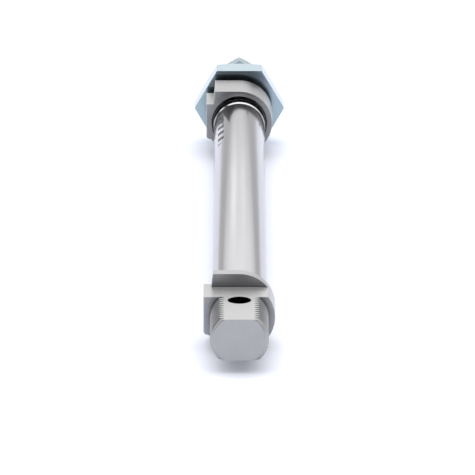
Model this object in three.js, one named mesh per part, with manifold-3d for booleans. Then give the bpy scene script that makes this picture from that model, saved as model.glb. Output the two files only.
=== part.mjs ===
// Round pneumatic cylinder, bore 20, stroke 200, with crimped stainless barrel and cushioning screws.
// Millimetres, +Z up. The origin is the centre of the rear stud's end face and the rod points along +Y.
import * as THREE from 'three';
import { mergeVertices } from 'three/addons/utils/BufferGeometryUtils.js';
import Module from 'manifold-3d';

const wasm = await Module();
wasm.setup();

// ---- Driving dimensions ----
const STROKE = 200;
const REST_EXTENSION = 14;
const BORE_R = 10;
const TUBE_R = 10.3;
const ROD_R = 4;
const STUD_LENGTH = 27;
const CAP_LENGTH = 16;
const CAP_R = 13.5;
const NECK_R = 11;
const NECK_LENGTH = 20;
const TONGUE_HALF = 8;
const TONGUE_REACH = 11;
const CROSS_HOLE_R = 4.1;
const CROSS_HOLE_SETBACK = 3.5;
const SPIGOT_LENGTH = 9;
const SPIGOT_R = 9.8;
const CRIMP_R = 9.35;
const CRIMP_DEPTH = 0.4;
const BEAD_RISE = 0.25;
const SEAL_GROOVE_R = 8.4;
const RECESS_R = 11.1;
const RECESS_DEPTH = 1.5;
const PISTON_LENGTH = 17.4;
const END_GAP = 0.3;
const ROD_REACH = 24;
const ROD_THREAD_LENGTH = 20;

// ---- Fits and mesh fineness ----
const FIT = 0.15;
const FACE_GAP = 0.3;
const RING_STEPS = 28;
const SMALL_STEPS = 18;
const MERGE_TOLERANCE = 1e-4;

// ---- Cap outline ----
const BLOCK_LEFT_TOP = -9.9;
const BLOCK_LEFT_FOOT = -10.5;
const BOSS_BOTTOM = -7;
const BOSS_CORNER_R = 1.4;
const EDGE_BREAK = 0.4;

// ---- Ports and cushioning ----
const PORT_R = 4.3;
const PORT_RIM_R = 4.9;
const PORT_DEPTH = 6;
const PORT_DRILL_R = 1.6;
const CUSHION_BORE_R = 5.6;
const CUSHION_SLEEVE_R = 5;
const CUSHION_SLEEVE_LENGTH = 13.7;
const SCREW_R = 1.7;
const SCREW_LENGTH = 7;
const SCREW_HEIGHT = 10.7;
const SCREW_SETBACK = 2.5;
const SCREW_SINK = 1.1;

// ---- Nuts ----
const MOUNT_NUT_FLATS = 32;
const MOUNT_NUT_LENGTH = 11;
const MOUNT_NUT_GAP = 4.9;
const ROD_NUT_FLATS = 13;
const ROD_NUT_LENGTH = 6.5;
const ROD_NUT_SETBACK = 3;

// ---- Stations along the axis ----
const REAR_CAP_BACK = STUD_LENGTH;
const REAR_CAP_FRONT = REAR_CAP_BACK + CAP_LENGTH;
const REAR_SPIGOT_END = REAR_CAP_FRONT + SPIGOT_LENGTH;
const CHAMBER = STROKE + PISTON_LENGTH + 2 * END_GAP;
const FRONT_SPIGOT_END = REAR_SPIGOT_END + CHAMBER;
const FRONT_CAP_BACK = FRONT_SPIGOT_END + SPIGOT_LENGTH;
const SHOULDER = FRONT_CAP_BACK + CAP_LENGTH;
const NECK_END = SHOULDER + NECK_LENGTH;
const REAR_BORE_BOTTOM = REAR_CAP_BACK + 4;
const FRONT_BORE_TOP = SHOULDER - 5;
const BUSH_START = FRONT_BORE_TOP + 1;
const BUSH_END = BUSH_START + 12.5;
const SEAL_END = BUSH_END + 4.5;
const PISTON_BACK = REAR_SPIGOT_END + END_GAP + REST_EXTENSION;
const PISTON_FRONT = PISTON_BACK + PISTON_LENGTH;
const ROD_THREAD_START = SHOULDER + ROD_REACH + REST_EXTENSION;
const ROD_TIP = ROD_THREAD_START + ROD_THREAD_LENGTH;

// ---- Materials ----
function metal(color, roughness) {
  return new THREE.MeshStandardMaterial({ color, roughness, metalness: 1 });
}

function plain(color, roughness) {
  return new THREE.MeshStandardMaterial({ color, roughness, metalness: 0 });
}

const aluminium = metal(0xc4c6c8, 0.42);
const stainless = metal(0xcfcac6, 0.28);
const zincSteel = metal(0xb9c6d2, 0.3);
const chromedSteel = metal(0xd8dadc, 0.12);
const bronze = metal(0xa9793f, 0.5);
const nitrile = plain(0x1c1c1e, 0.7);
const polyurethane = plain(0x2f5f3c, 0.5);
const guidePlastic = plain(0x4a4238, 0.6);
const magnetPlastic = plain(0x26262a, 0.55);

// ---- Solids ----
function toSolid(geometry) {
  const bare = geometry.clone();
  bare.deleteAttribute('normal');
  bare.deleteAttribute('uv');
  const merged = mergeVertices(bare, MERGE_TOLERANCE);
  const corners = merged.index.array;
  const kept = [];
  for (let i = 0; i < corners.length; i += 3) {
    const [a, b, c] = [corners[i], corners[i + 1], corners[i + 2]];
    if (a !== b && b !== c && c !== a) kept.push(a, b, c);
  }
  const vertProperties = new Float32Array(merged.attributes.position.array);
  const triVerts = new Uint32Array(kept);
  return new wasm.Manifold(new wasm.Mesh({ numProp: 3, vertProperties, triVerts }));
}

function toGeometry(solid) {
  const mesh = solid.getMesh();
  const geometry = new THREE.BufferGeometry();
  geometry.setAttribute('position', new THREE.BufferAttribute(mesh.vertProperties, 3));
  geometry.setIndex(new THREE.BufferAttribute(mesh.triVerts, 1));
  geometry.computeVertexNormals();
  return geometry;
}

function join(first, ...others) {
  let solid = toSolid(first);
  for (const other of others) solid = solid.add(toSolid(other));
  return toGeometry(solid);
}

function cut(base, ...cutters) {
  let solid = toSolid(base);
  for (const cutter of cutters) solid = solid.subtract(toSolid(cutter));
  return toGeometry(solid);
}

function common(first, second) {
  return toGeometry(toSolid(first).intersect(toSolid(second)));
}

// Turned solid about the Y axis. Each profile point is [radius, y], run with the material on the left.
function turned(profile, steps = RING_STEPS) {
  return new THREE.LatheGeometry(profile.map(([r, y]) => new THREE.Vector2(r, y)), steps);
}

// Turned ring with broken corners, from radius inner to outer and from y start to end.
function ring(inner, outer, start, end, corner = 0.2, steps = RING_STEPS) {
  return turned([
    [inner, start],
    [outer - corner, start],
    [outer, start + corner],
    [outer, end - corner],
    [outer - corner, end],
    [inner, end],
    [inner, start],
  ], steps);
}

// Plain round rod along Y, for cutting bores as well.
function rod(radius, start, end, steps = RING_STEPS) {
  return turned([[0, start], [radius, start], [radius, end], [0, end]], steps);
}

// O-ring of a round section.
function oRing(radius, section, y, steps = SMALL_STEPS) {
  const profile = [];
  const sides = 6;
  for (let i = 0; i <= sides; i += 1) {
    const angle = (2 * Math.PI * (i % sides)) / sides;
    profile.push([radius + (section / 2) * Math.cos(angle), y + (section / 2) * Math.sin(angle)]);
  }
  return turned(profile, steps);
}

// Outline drawn in X and Z, pushed along Y from start to end with broken edges.
function pushed(shape, start, end, edge, curveSegments = 20) {
  const geometry = new THREE.ExtrudeGeometry(shape, {
    depth: end - start - 2 * edge,
    bevelEnabled: edge > 0,
    bevelThickness: edge,
    bevelSize: edge,
    bevelOffset: -edge,
    bevelSegments: 1,
    curveSegments,
  });
  geometry.rotateX(Math.PI / 2);
  geometry.translate(0, end - edge, 0);
  return geometry;
}

function block(xRange, yRange, zRange) {
  const spans = [xRange, yRange, zRange].map(([low, high]) => high - low);
  const geometry = new THREE.BoxGeometry(...spans);
  const middles = [xRange, yRange, zRange].map(([low, high]) => (low + high) / 2);
  geometry.translate(...middles);
  return geometry;
}

// ---- End caps ----
// Round cap with a raised block at the top left and a flat port boss on the left.
function capOutline() {
  const footAngle = Math.atan2(BOSS_BOTTOM, -Math.sqrt(CAP_R ** 2 - BOSS_BOTTOM ** 2));
  const shape = new THREE.Shape();
  shape.moveTo(0, CAP_R);
  shape.lineTo(BLOCK_LEFT_TOP, CAP_R);
  shape.lineTo(BLOCK_LEFT_FOOT, TONGUE_HALF);
  shape.lineTo(-CAP_R, TONGUE_HALF);
  shape.lineTo(-CAP_R, BOSS_BOTTOM + BOSS_CORNER_R);
  shape.absarc(-CAP_R + BOSS_CORNER_R, BOSS_BOTTOM + BOSS_CORNER_R, BOSS_CORNER_R, Math.PI, 1.5 * Math.PI);
  shape.lineTo(CAP_R * Math.cos(footAngle), BOSS_BOTTOM);
  shape.absarc(0, 0, CAP_R, footAngle, Math.PI / 2);
  return shape;
}

// Turned plug that enters the barrel, with the crimp groove and the O-ring groove.
// face is the cap face at the barrel and way is +1 when the plug points to +Y.
function spigot(face, way) {
  const stations = [
    [0, -RECESS_DEPTH],
    [SPIGOT_R, -RECESS_DEPTH],
    [SPIGOT_R, 0],
    [CRIMP_R, 0.4],
    [CRIMP_R, 4.7],
    [SPIGOT_R, 5.1],
    [SPIGOT_R, 5.5],
    [SEAL_GROOVE_R, 5.5],
    [SEAL_GROOVE_R, 7.4],
    [SPIGOT_R, 7.4],
    [SPIGOT_R, SPIGOT_LENGTH - 0.5],
    [SPIGOT_R - 0.5, SPIGOT_LENGTH],
    [0, SPIGOT_LENGTH],
  ];
  const profile = stations.map(([r, s]) => [r, face + way * s]);
  return turned(way > 0 ? profile : profile.reverse());
}

// Ring-shaped recess in the cap face around the barrel.
function barrelRecess(face, way) {
  const span = [face - way * RECESS_DEPTH, face + way].sort((a, b) => a - b);
  return ring(SPIGOT_R - 0.5, RECESS_R, span[0], span[1], 0);
}

// Port thread hole on the left boss, with the drilling that leads on to the axis.
function portCutter(y) {
  const mouth = CAP_R - 0.6;
  const bottom = CAP_R - PORT_DEPTH;
  const geometry = turned([
    [0, 0],
    [PORT_DRILL_R, 0],
    [PORT_DRILL_R, bottom - 1.2],
    [PORT_R, bottom],
    [PORT_R, mouth],
    [PORT_RIM_R, CAP_R],
    [PORT_RIM_R, CAP_R + 1],
    [0, CAP_R + 1],
  ], SMALL_STEPS);
  geometry.rotateZ(Math.PI / 2);
  geometry.translate(0, y, 0);
  return geometry;
}

// Blind hole of a cushioning screw, entering the raised block from the left.
function screwHole(y) {
  const mouth = -BLOCK_LEFT_FOOT + 1;
  const geometry = turned([
    [0, 1],
    [SCREW_R + FIT, 2.2],
    [SCREW_R + FIT, mouth],
    [0, mouth],
  ], SMALL_STEPS);
  geometry.rotateZ(Math.PI / 2);
  geometry.translate(0, y, SCREW_HEIGHT);
  return geometry;
}

// Groove behind the mouth of a cushion bore, where the cushion seal sits.
function cushionGroove(mouth, way) {
  const span = [mouth - way * 2, mouth - way * 5.2].sort((a, b) => a - b);
  return rod(7.4, span[0], span[1]);
}

function crossHoleCutter(y) {
  const chamfer = 0.6;
  const reach = TONGUE_HALF + 1;
  const geometry = turned([
    [0, -reach],
    [CROSS_HOLE_R + chamfer, -reach],
    [CROSS_HOLE_R + chamfer, -TONGUE_HALF],
    [CROSS_HOLE_R, chamfer - TONGUE_HALF],
    [CROSS_HOLE_R, TONGUE_HALF - chamfer],
    [CROSS_HOLE_R + chamfer, TONGUE_HALF],
    [CROSS_HOLE_R + chamfer, reach],
    [0, reach],
  ], SMALL_STEPS);
  geometry.rotateX(Math.PI / 2);
  geometry.translate(0, y, 0);
  return geometry;
}

function rearEndCap() {
  const stud = turned([
    [0, 0],
    [NECK_R - 1.1, 0],
    [NECK_R, 1.1],
    [NECK_R, REAR_CAP_BACK + 1],
    [0, REAR_CAP_BACK + 1],
  ]);
  const cap = pushed(capOutline(), REAR_CAP_BACK, REAR_CAP_FRONT, EDGE_BREAK);
  const recessed = cut(cap, barrelRecess(REAR_CAP_FRONT, 1));
  const body = join(recessed, stud, spigot(REAR_CAP_FRONT, 1));
  const flatEnd = REAR_CAP_BACK + TONGUE_REACH;
  const wide = [-2 * CAP_R, 2 * CAP_R];
  return cut(
    body,
    block(wide, [-1, flatEnd], [TONGUE_HALF, 2 * CAP_R]),
    block(wide, [-1, flatEnd], [-2 * CAP_R, -TONGUE_HALF]),
    crossHoleCutter(REAR_CAP_BACK - CROSS_HOLE_SETBACK),
    rod(CUSHION_BORE_R, REAR_BORE_BOTTOM, REAR_SPIGOT_END + 1),
    cushionGroove(REAR_SPIGOT_END, 1),
    portCutter(REAR_CAP_BACK + CAP_LENGTH / 2),
    screwHole(REAR_CAP_FRONT - SCREW_SETBACK),
  );
}

function frontBearingCap() {
  const undercut = 1.2;
  const neck = turned([
    [0, SHOULDER - 1],
    [NECK_R - undercut, SHOULDER - 1],
    [NECK_R - undercut, SHOULDER + undercut],
    [NECK_R, SHOULDER + 2 * undercut],
    [NECK_R, NECK_END - 1],
    [NECK_R - 1, NECK_END],
    [0, NECK_END],
  ]);
  const cap = pushed(capOutline(), FRONT_CAP_BACK, SHOULDER, EDGE_BREAK);
  const recessed = cut(cap, barrelRecess(FRONT_CAP_BACK, -1));
  const body = join(recessed, neck, spigot(FRONT_CAP_BACK, -1));
  const bearingBores = turned([
    [0, FRONT_SPIGOT_END - 1],
    [CUSHION_BORE_R, FRONT_SPIGOT_END - 1],
    [CUSHION_BORE_R, FRONT_BORE_TOP],
    [ROD_R + 2 * FIT, FRONT_BORE_TOP],
    [ROD_R + 2 * FIT, BUSH_START],
    [5.5, BUSH_START],
    [5.5, BUSH_END],
    [7, BUSH_END],
    [7, SEAL_END],
    [7.6, SEAL_END],
    [7.6, NECK_END + 1],
    [0, NECK_END + 1],
  ]);
  return cut(
    body,
    bearingBores,
    cushionGroove(FRONT_SPIGOT_END, -1),
    portCutter(SHOULDER - CAP_LENGTH / 2),
    screwHole(FRONT_CAP_BACK + SCREW_SETBACK),
  );
}

// ---- Barrel ----
// Thin tube whose ends are rolled into the spigots' crimp grooves, with a bead where each crimp ends.
// Wall stations are [step, radius] from the cap face, and the same wall is mirrored at the other end.
function cylinderBarrel() {
  const wall = TUBE_R - BORE_R;
  const outer = [
    [FACE_GAP - RECESS_DEPTH, TUBE_R],
    [-0.2, TUBE_R],
    [0.4, TUBE_R - CRIMP_DEPTH],
    [4, TUBE_R - CRIMP_DEPTH],
    [4.9, TUBE_R + BEAD_RISE],
    [5.6, TUBE_R + BEAD_RISE],
    [6.4, TUBE_R],
  ];
  const rear = outer.map(([s, r]) => [r, REAR_CAP_FRONT + s]);
  const front = outer.map(([s, r]) => [r, FRONT_CAP_BACK - s]).reverse();
  const outside = [...rear, ...front];
  const inside = outside.map(([r, y]) => [r - wall, y]).reverse();
  return turned([...outside, ...inside, outside[0]]);
}

// ---- Rod, piston and cushioning ----
function pistonRod() {
  const neckR = 3;
  const tail = PISTON_BACK - 18.8;
  const shoulder = PISTON_FRONT + FACE_GAP + CUSHION_SLEEVE_LENGTH + FACE_GAP;
  const body = turned([
    [0, tail],
    [neckR - 0.5, tail],
    [neckR, tail + 0.5],
    [neckR, shoulder],
    [ROD_R, shoulder],
    [ROD_R, ROD_TIP - 1],
    [ROD_R - 1, ROD_TIP],
    [0, ROD_TIP],
  ], SMALL_STEPS);
  const wrenchHalf = 3.5;
  const span = [ROD_THREAD_START - 4, ROD_THREAD_START];
  return cut(
    body,
    block([wrenchHalf, 2 * ROD_R], span, [-ROD_R, ROD_R]),
    block([-2 * ROD_R, -wrenchHalf], span, [-ROD_R, ROD_R]),
  );
}

// One half of the piston. way is +1 for the front half; stations are [step, radius] from the middle.
function pistonHalf(way) {
  const middle = (PISTON_BACK + PISTON_FRONT) / 2;
  const end = PISTON_LENGTH / 2;
  const stations = [
    [3.2, 2.1],
    [7.6, 2.1],
    [7.6, 0.1],
    [8.5, 0.1],
    [8.5, 2.7],
    [9.6, 2.7],
    [9.6, 3.7],
    [7.4, 3.7],
    [7.4, 7.3],
    [9.6, 7.3],
    [9.6, end - 0.5],
    [9.1, end],
    [3.2, end],
    [3.2, 2.1],
  ];
  const profile = stations.map(([r, s]) => [r, middle + way * s]);
  return turned(way > 0 ? profile : profile.reverse());
}

function pistonGuideRing() {
  const middle = (PISTON_BACK + PISTON_FRONT) / 2;
  return ring(8.65, 9.9, middle - 2.5, middle + 2.5, 0.2);
}

// Lip seal in a piston half's groove, with its lip towards the chamber.
function pistonSeal(way) {
  const middle = (PISTON_BACK + PISTON_FRONT) / 2;
  const stations = [
    [7.55, 3.9],
    [9.4, 3.9],
    [9.75, 5.2],
    [9.9, 7.1],
    [9.2, 7.1],
    [8.7, 5.6],
    [8.3, 7.1],
    [7.55, 7.1],
    [7.55, 3.9],
  ];
  const profile = stations.map(([r, s]) => [r, middle + way * s]);
  return turned(way > 0 ? profile : profile.reverse());
}

function magnetRing() {
  const middle = (PISTON_BACK + PISTON_FRONT) / 2;
  return ring(4.2, 7.4, middle - 1.9, middle + 1.9, 0.2);
}

// Turned sleeve that plugs the cushion bore; way points from the piston to its nose.
function cushionSleeve(base, way) {
  const stations = [
    [3.2, 0],
    [CUSHION_SLEEVE_R, 0],
    [CUSHION_SLEEVE_R, CUSHION_SLEEVE_LENGTH - 2],
    [CUSHION_SLEEVE_R - 0.5, CUSHION_SLEEVE_LENGTH],
    [3.2, CUSHION_SLEEVE_LENGTH],
    [3.2, 0],
  ];
  const profile = stations.map(([r, s]) => [r, base + way * s]);
  return turned(way > 0 ? profile : profile.reverse(), SMALL_STEPS);
}

// Round slotted nut that clamps the piston on the rod's tail.
function pistonLockNut() {
  const front = PISTON_BACK - FACE_GAP - CUSHION_SLEEVE_LENGTH - FACE_GAP;
  const body = ring(3.15, 4.6, front - 4, front, 0.3, SMALL_STEPS);
  return cut(body, block([-5, 5], [front - 5, front - 3], [-0.6, 0.6]));
}

// Cushion seal in the groove behind the mouth of the cushion bore.
function cushionSeal(mouth, way) {
  const span = [mouth - way * 2.2, mouth - way * 5].sort((a, b) => a - b);
  return ring(CUSHION_SLEEVE_R + 0.1, 7.25, span[0], span[1], 0.3, SMALL_STEPS);
}

// ---- Cushioning screws ----
// Slotted needle screw along X. Its head faces the left side.
function cushionScrew(y) {
  const head = -BLOCK_LEFT_FOOT - SCREW_SINK;
  const tail = head - SCREW_LENGTH;
  const geometry = turned([
    [0, tail],
    [0.3, tail],
    [0.9, tail + 2],
    [SCREW_R, tail + 2.5],
    [SCREW_R, tail + 3.2],
    [1.1, tail + 3.2],
    [1.1, tail + 4.2],
    [SCREW_R, tail + 4.2],
    [SCREW_R, head - 0.2],
    [SCREW_R - 0.2, head],
    [0, head],
  ], 16);
  geometry.rotateZ(Math.PI / 2);
  geometry.translate(0, y, SCREW_HEIGHT);
  const slot = block([-head - 1, -head + 0.8], [y - 3, y + 3], [SCREW_HEIGHT - 0.3, SCREW_HEIGHT + 0.3]);
  return cut(geometry, slot);
}

function screwORing(y) {
  const head = -BLOCK_LEFT_FOOT - SCREW_SINK;
  const middle = head - SCREW_LENGTH + 3.7;
  const geometry = oRing(1.45, 0.5, middle, 12);
  geometry.rotateZ(Math.PI / 2);
  geometry.translate(0, y, SCREW_HEIGHT);
  return geometry;
}

// ---- Nuts ----
// Hexagon nut with both faces chamfered. turn rotates the hexagon; at 0 a flat is on top.
function hexNut(flats, start, end, holeR, turn) {
  const cornerR = flats / Math.sqrt(3);
  const shape = new THREE.Shape();
  for (let i = 0; i < 6; i += 1) {
    const angle = turn + (i * Math.PI) / 3;
    const [x, z] = [cornerR * Math.cos(angle), cornerR * Math.sin(angle)];
    if (i === 0) shape.moveTo(x, z);
    else shape.lineTo(x, z);
  }
  shape.closePath();
  const prism = pushed(shape, start, end, 0);
  const faceR = flats * 0.475;
  const slope = (cornerR - faceR + 0.2) * Math.tan(Math.PI / 6);
  const chamfered = turned([
    [0, start],
    [faceR, start],
    [cornerR + 0.2, start + slope],
    [cornerR + 0.2, end - slope],
    [faceR, end],
    [0, end],
  ]);
  const sink = 0.8;
  const hole = turned([
    [0, start - 1],
    [holeR + sink, start - 1],
    [holeR + sink, start],
    [holeR, start + sink],
    [holeR, end - sink],
    [holeR + sink, end],
    [holeR + sink, end + 1],
    [0, end + 1],
  ]);
  return cut(common(prism, chamfered), hole);
}

// ---- Assembly ----
const cylinder = new THREE.Group();

function addPiece(name, geometry, material) {
  const mesh = new THREE.Mesh(geometry, material);
  mesh.name = name;
  cylinder.add(mesh);
}

addPiece('cylinder_barrel', cylinderBarrel(), stainless);
addPiece('rear_end_cap', rearEndCap(), aluminium);
addPiece('front_bearing_cap', frontBearingCap(), aluminium);

const mountNutStart = SHOULDER + MOUNT_NUT_GAP;
const mountNutEnd = mountNutStart + MOUNT_NUT_LENGTH;
addPiece('mounting_nut', hexNut(MOUNT_NUT_FLATS, mountNutStart, mountNutEnd, NECK_R + FIT, 0), zincSteel);

addPiece('rod_bearing_bush', ring(ROD_R + 0.1, 5.4, BUSH_START + 0.1, BUSH_END - 0.1, 0.2), bronze);
addPiece('rod_seal', ring(ROD_R + 0.12, 6.85, BUSH_END + 0.15, SEAL_END - 0.15, 0.3), nitrile);
addPiece('rod_wiper', ring(ROD_R + 0.12, 7.45, SEAL_END + 0.15, NECK_END - 3.1, 0.3), polyurethane);
addPiece('seal_retaining_ring', ring(ROD_R + 0.7, 7.45, NECK_END - 2.9, NECK_END - 1.1, 0.2), zincSteel);

addPiece('rear_barrel_o_ring', oRing(9.2, 1.3, REAR_CAP_FRONT + 6.45), nitrile);
addPiece('front_barrel_o_ring', oRing(9.2, 1.3, FRONT_CAP_BACK - 6.45), nitrile);
addPiece('rear_cushion_seal', cushionSeal(REAR_SPIGOT_END, 1), polyurethane);
addPiece('front_cushion_seal', cushionSeal(FRONT_SPIGOT_END, -1), polyurethane);

addPiece('piston_guide_ring', pistonGuideRing(), guidePlastic);
addPiece('rear_piston_seal', pistonSeal(-1), polyurethane);
addPiece('front_piston_seal', pistonSeal(1), polyurethane);

addPiece('piston_rod', pistonRod(), chromedSteel);
addPiece('rear_piston_half', pistonHalf(-1), aluminium);
addPiece('front_piston_half', pistonHalf(1), aluminium);
addPiece('magnet_ring', magnetRing(), magnetPlastic);
addPiece('rear_cushion_sleeve', cushionSleeve(PISTON_BACK - FACE_GAP, -1), aluminium);
addPiece('front_cushion_sleeve', cushionSleeve(PISTON_FRONT + FACE_GAP, 1), aluminium);
addPiece('piston_lock_nut', pistonLockNut(), zincSteel);

const rodNutStart = ROD_TIP - ROD_NUT_SETBACK - ROD_NUT_LENGTH;
const rodNutEnd = ROD_TIP - ROD_NUT_SETBACK;
addPiece('rod_nut', hexNut(ROD_NUT_FLATS, rodNutStart, rodNutEnd, ROD_R + FIT, Math.PI / 6), zincSteel);

for (const [end, y] of [
  ['rear', REAR_CAP_FRONT - SCREW_SETBACK],
  ['front', FRONT_CAP_BACK + SCREW_SETBACK],
]) {
  addPiece(`${end}_cushion_screw`, cushionScrew(y), zincSteel);
  addPiece(`${end}_screw_o_ring`, screwORing(y), nitrile);
}

export default cylinder;
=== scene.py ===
"""Looks of the round pneumatic cylinder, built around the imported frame.

Shapes are worked out in millimetres, with +Y along the cylinder axis, and are turned into metres when a
piece is finished. Lengths along the axis come from the frame's boxes.
"""

import math

import bpy
from mathutils import Matrix, Vector


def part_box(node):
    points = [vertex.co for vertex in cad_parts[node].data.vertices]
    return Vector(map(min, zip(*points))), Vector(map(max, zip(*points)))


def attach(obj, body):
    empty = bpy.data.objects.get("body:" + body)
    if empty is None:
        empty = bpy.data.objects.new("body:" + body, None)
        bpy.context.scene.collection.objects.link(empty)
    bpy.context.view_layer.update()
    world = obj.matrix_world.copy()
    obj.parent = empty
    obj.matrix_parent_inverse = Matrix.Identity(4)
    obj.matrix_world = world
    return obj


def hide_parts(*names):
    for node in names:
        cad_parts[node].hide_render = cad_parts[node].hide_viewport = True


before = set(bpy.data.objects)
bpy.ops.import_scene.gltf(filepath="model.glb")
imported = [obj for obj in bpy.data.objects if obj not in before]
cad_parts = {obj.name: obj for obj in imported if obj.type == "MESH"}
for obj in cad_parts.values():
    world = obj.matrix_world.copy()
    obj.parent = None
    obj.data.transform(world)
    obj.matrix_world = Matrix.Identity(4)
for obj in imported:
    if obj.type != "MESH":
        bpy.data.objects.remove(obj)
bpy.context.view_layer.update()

MM = 0.001
TAU = 2 * math.pi

# ---- Fineness of the round shapes ----
ROUND = 192
SMALL_ROUND = 96
ARC_STEPS = 4
SMOOTH_ANGLE = math.radians(28)

# ---- Sizes, in millimetres ----
BORE_R = 10.0
TUBE_R = 10.3
ROD_R = 4.0
CAP_R = 13.5
CAP_LENGTH = 16.0
NECK_R = 11.0
TONGUE_HALF = 8.0
TONGUE_REACH = 11.0
BLOCK_LEFT_TOP = -9.9
BLOCK_LEFT_FOOT = -10.5
BOSS_BOTTOM = -7.0
BOSS_CORNER_R = 1.4
SCREW_HEIGHT = 10.7
SCREW_SETBACK = 2.5
EDGE_ROUND = 0.3
CROSS_HOLE_R = 4.3
CROSS_HOLE_SETBACK = 3.5
CUSHION_BORE_R = 5.6
SPIGOT_R = 9.8
SPIGOT_LENGTH = 9.0
RECESS_R = 11.1
RECESS_INNER_R = 9.3
RECESS_DEPTH = 1.5
STUD_PITCH = 2.5
STUD_ROOT_R = 9.75
ROD_PITCH = 1.25
ROD_THREAD_LENGTH = 20.0
PORT_PITCH = 0.907
PORT_MAJOR_R = 4.86
PORT_MINOR_R = 4.28
PORT_DEPTH = 6.0
THREAD_OVERLAP = 0.05


def low(node, axis):
    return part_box(node)[0][axis] / MM


def high(node, axis):
    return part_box(node)[1][axis] / MM


# ---- Stations along the axis, in millimetres, from the frame ----
STUD_END = low("rear_end_cap", 1)
REAR_SPIGOT_END = high("rear_end_cap", 1)
REAR_CAP_FRONT = REAR_SPIGOT_END - SPIGOT_LENGTH
REAR_CAP_BACK = REAR_CAP_FRONT - CAP_LENGTH
FRONT_SPIGOT_END = low("front_bearing_cap", 1)
FRONT_CAP_BACK = FRONT_SPIGOT_END + SPIGOT_LENGTH
SHOULDER = FRONT_CAP_BACK + CAP_LENGTH
NECK_END = high("front_bearing_cap", 1)
TONGUE_END = REAR_CAP_BACK + TONGUE_REACH
CROSS_HOLE_Y = REAR_CAP_BACK - CROSS_HOLE_SETBACK
ROD_TIP = high("piston_rod", 1)
ROD_TAIL = low("piston_rod", 1)
ROD_THREAD_START = ROD_TIP - ROD_THREAD_LENGTH
REAR_SCREW_Y = REAR_CAP_FRONT - SCREW_SETBACK
FRONT_SCREW_Y = FRONT_CAP_BACK + SCREW_SETBACK
REAR_PORT_Y = REAR_CAP_BACK + CAP_LENGTH / 2
FRONT_PORT_Y = SHOULDER - CAP_LENGTH / 2


# ======== Mesh making ========
def mesh_object(name, points, faces):
    """Object from points in millimetres."""
    mesh = bpy.data.meshes.new(name)
    mesh.from_pydata([tuple(p) for p in points], [], faces)
    mesh.update()
    obj = bpy.data.objects.new(name, mesh)
    bpy.context.scene.collection.objects.link(obj)
    return obj


def soften(points, radius, closed=True):
    """Rounds each corner of a profile, except the corners on the axis, with a short curve."""
    count = len(points)
    result = []
    for i, (r, y) in enumerate(points):
        inner = closed or 0 < i < count - 1
        if not inner or r < 1e-6:
            result.append((r, y))
            continue
        before = Vector(points[i - 1])
        here = Vector((r, y))
        after = Vector(points[(i + 1) % count])
        back, ahead = before - here, after - here
        if back.length < 1e-6 or ahead.length < 1e-6:
            result.append((r, y))
            continue
        if abs(back.normalized().dot(ahead.normalized())) > 0.995:
            result.append((r, y))
            continue
        reach = min(radius, 0.45 * back.length, 0.45 * ahead.length)
        start = here + back.normalized() * reach
        end = here + ahead.normalized() * reach
        for k in range(ARC_STEPS + 1):
            t = k / ARC_STEPS
            p = start * (1 - t) ** 2 + here * (2 * t * (1 - t)) + end * t**2
            result.append((p.x, p.y))
    return result


def lathe(name, profile, steps=ROUND, axis="Y"):
    """Turned solid about the Y axis, from (radius, y) points run with the material on the left.

    A profile that starts and ends on the axis makes a full solid, any other closes on itself.
    """
    solid = profile[0][0] < 1e-6 and profile[-1][0] < 1e-6
    points, rings = [], []
    for r, y in profile:
        if r < 1e-6:
            rings.append([len(points)])
            points.append((0.0, y, 0.0))
            continue
        rings.append(range(len(points), len(points) + steps))
        for k in range(steps):
            a = TAU * k / steps
            points.append((r * math.cos(a), y, -r * math.sin(a)))
    faces = []
    pairs = list(zip(rings, rings[1:]))
    if not solid:
        pairs.append((rings[-1], rings[0]))
    for a, b in pairs:
        for k in range(steps):
            n = (k + 1) % steps
            if len(a) == 1 and len(b) == 1:
                continue
            if len(a) == 1:
                faces.append((a[0], b[n], b[k]))
            elif len(b) == 1:
                faces.append((a[k], a[n], b[0]))
            else:
                faces.append((a[k], a[n], b[n], b[k]))
    obj = mesh_object(name, points, faces)
    turn_to(obj, axis)
    return obj


def turn_to(obj, axis):
    """Turns a shape made along Y so that it runs along -X or Z."""
    if axis == "-X":
        obj.data.transform(Matrix.Rotation(math.pi / 2, 4, "Z"))
    elif axis == "Z":
        obj.data.transform(Matrix.Rotation(math.pi / 2, 4, "X"))


def thread_solid(name, major, minor, pitch, start, end, steps=ROUND, axis="Y"):
    """Long right-hand thread about Y with flat crests and roots, longer than asked at each end."""
    shape = [(0.10, minor), (0.42, major), (0.58, major), (0.90, minor)]
    turns = math.ceil((end - start) / pitch) + 4
    rows = [(start - 2 * pitch + (n + p) * pitch, r) for n in range(turns) for p, r in shape]
    per_turn = len(shape)
    points = []
    for y, r in rows:
        for k in range(steps):
            a = TAU * k / steps
            points.append((r * math.cos(a), y + pitch * k / steps, -r * math.sin(a)))
    faces = []

    def index(row, k):
        return (row + per_turn) * steps if k == steps else row * steps + k

    last = len(rows) - 1
    for row in range(last - per_turn):
        for k in range(steps):
            faces.append((index(row, k), index(row, k + 1), index(row + 1, k + 1), index(row + 1, k)))
    # The sheet's last rows stop one turn early on the far side of the seam, so both ends are spirals.
    for end_row, way in ((0, 1), (last - per_turn, -1)):
        loop = [end_row * steps + k for k in range(steps)]
        seam = [(end_row + n) * steps for n in range(per_turn, 0, -1)]
        hub = len(points)
        middle = rows[end_row][0] + pitch / 2
        points.append((0.0, middle, 0.0))
        rim = loop + seam
        for i, a in enumerate(rim):
            b = rim[(i + 1) % len(rim)]
            faces.append((hub, b, a) if way > 0 else (hub, a, b))
    used = sorted({i for f in faces for i in f})
    renumber = {old: new for new, old in enumerate(used)}
    faces = [tuple(renumber[i] for i in f) for f in faces]
    obj = mesh_object(name, [points[i] for i in used], faces)
    turn_to(obj, axis)
    return obj


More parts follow.
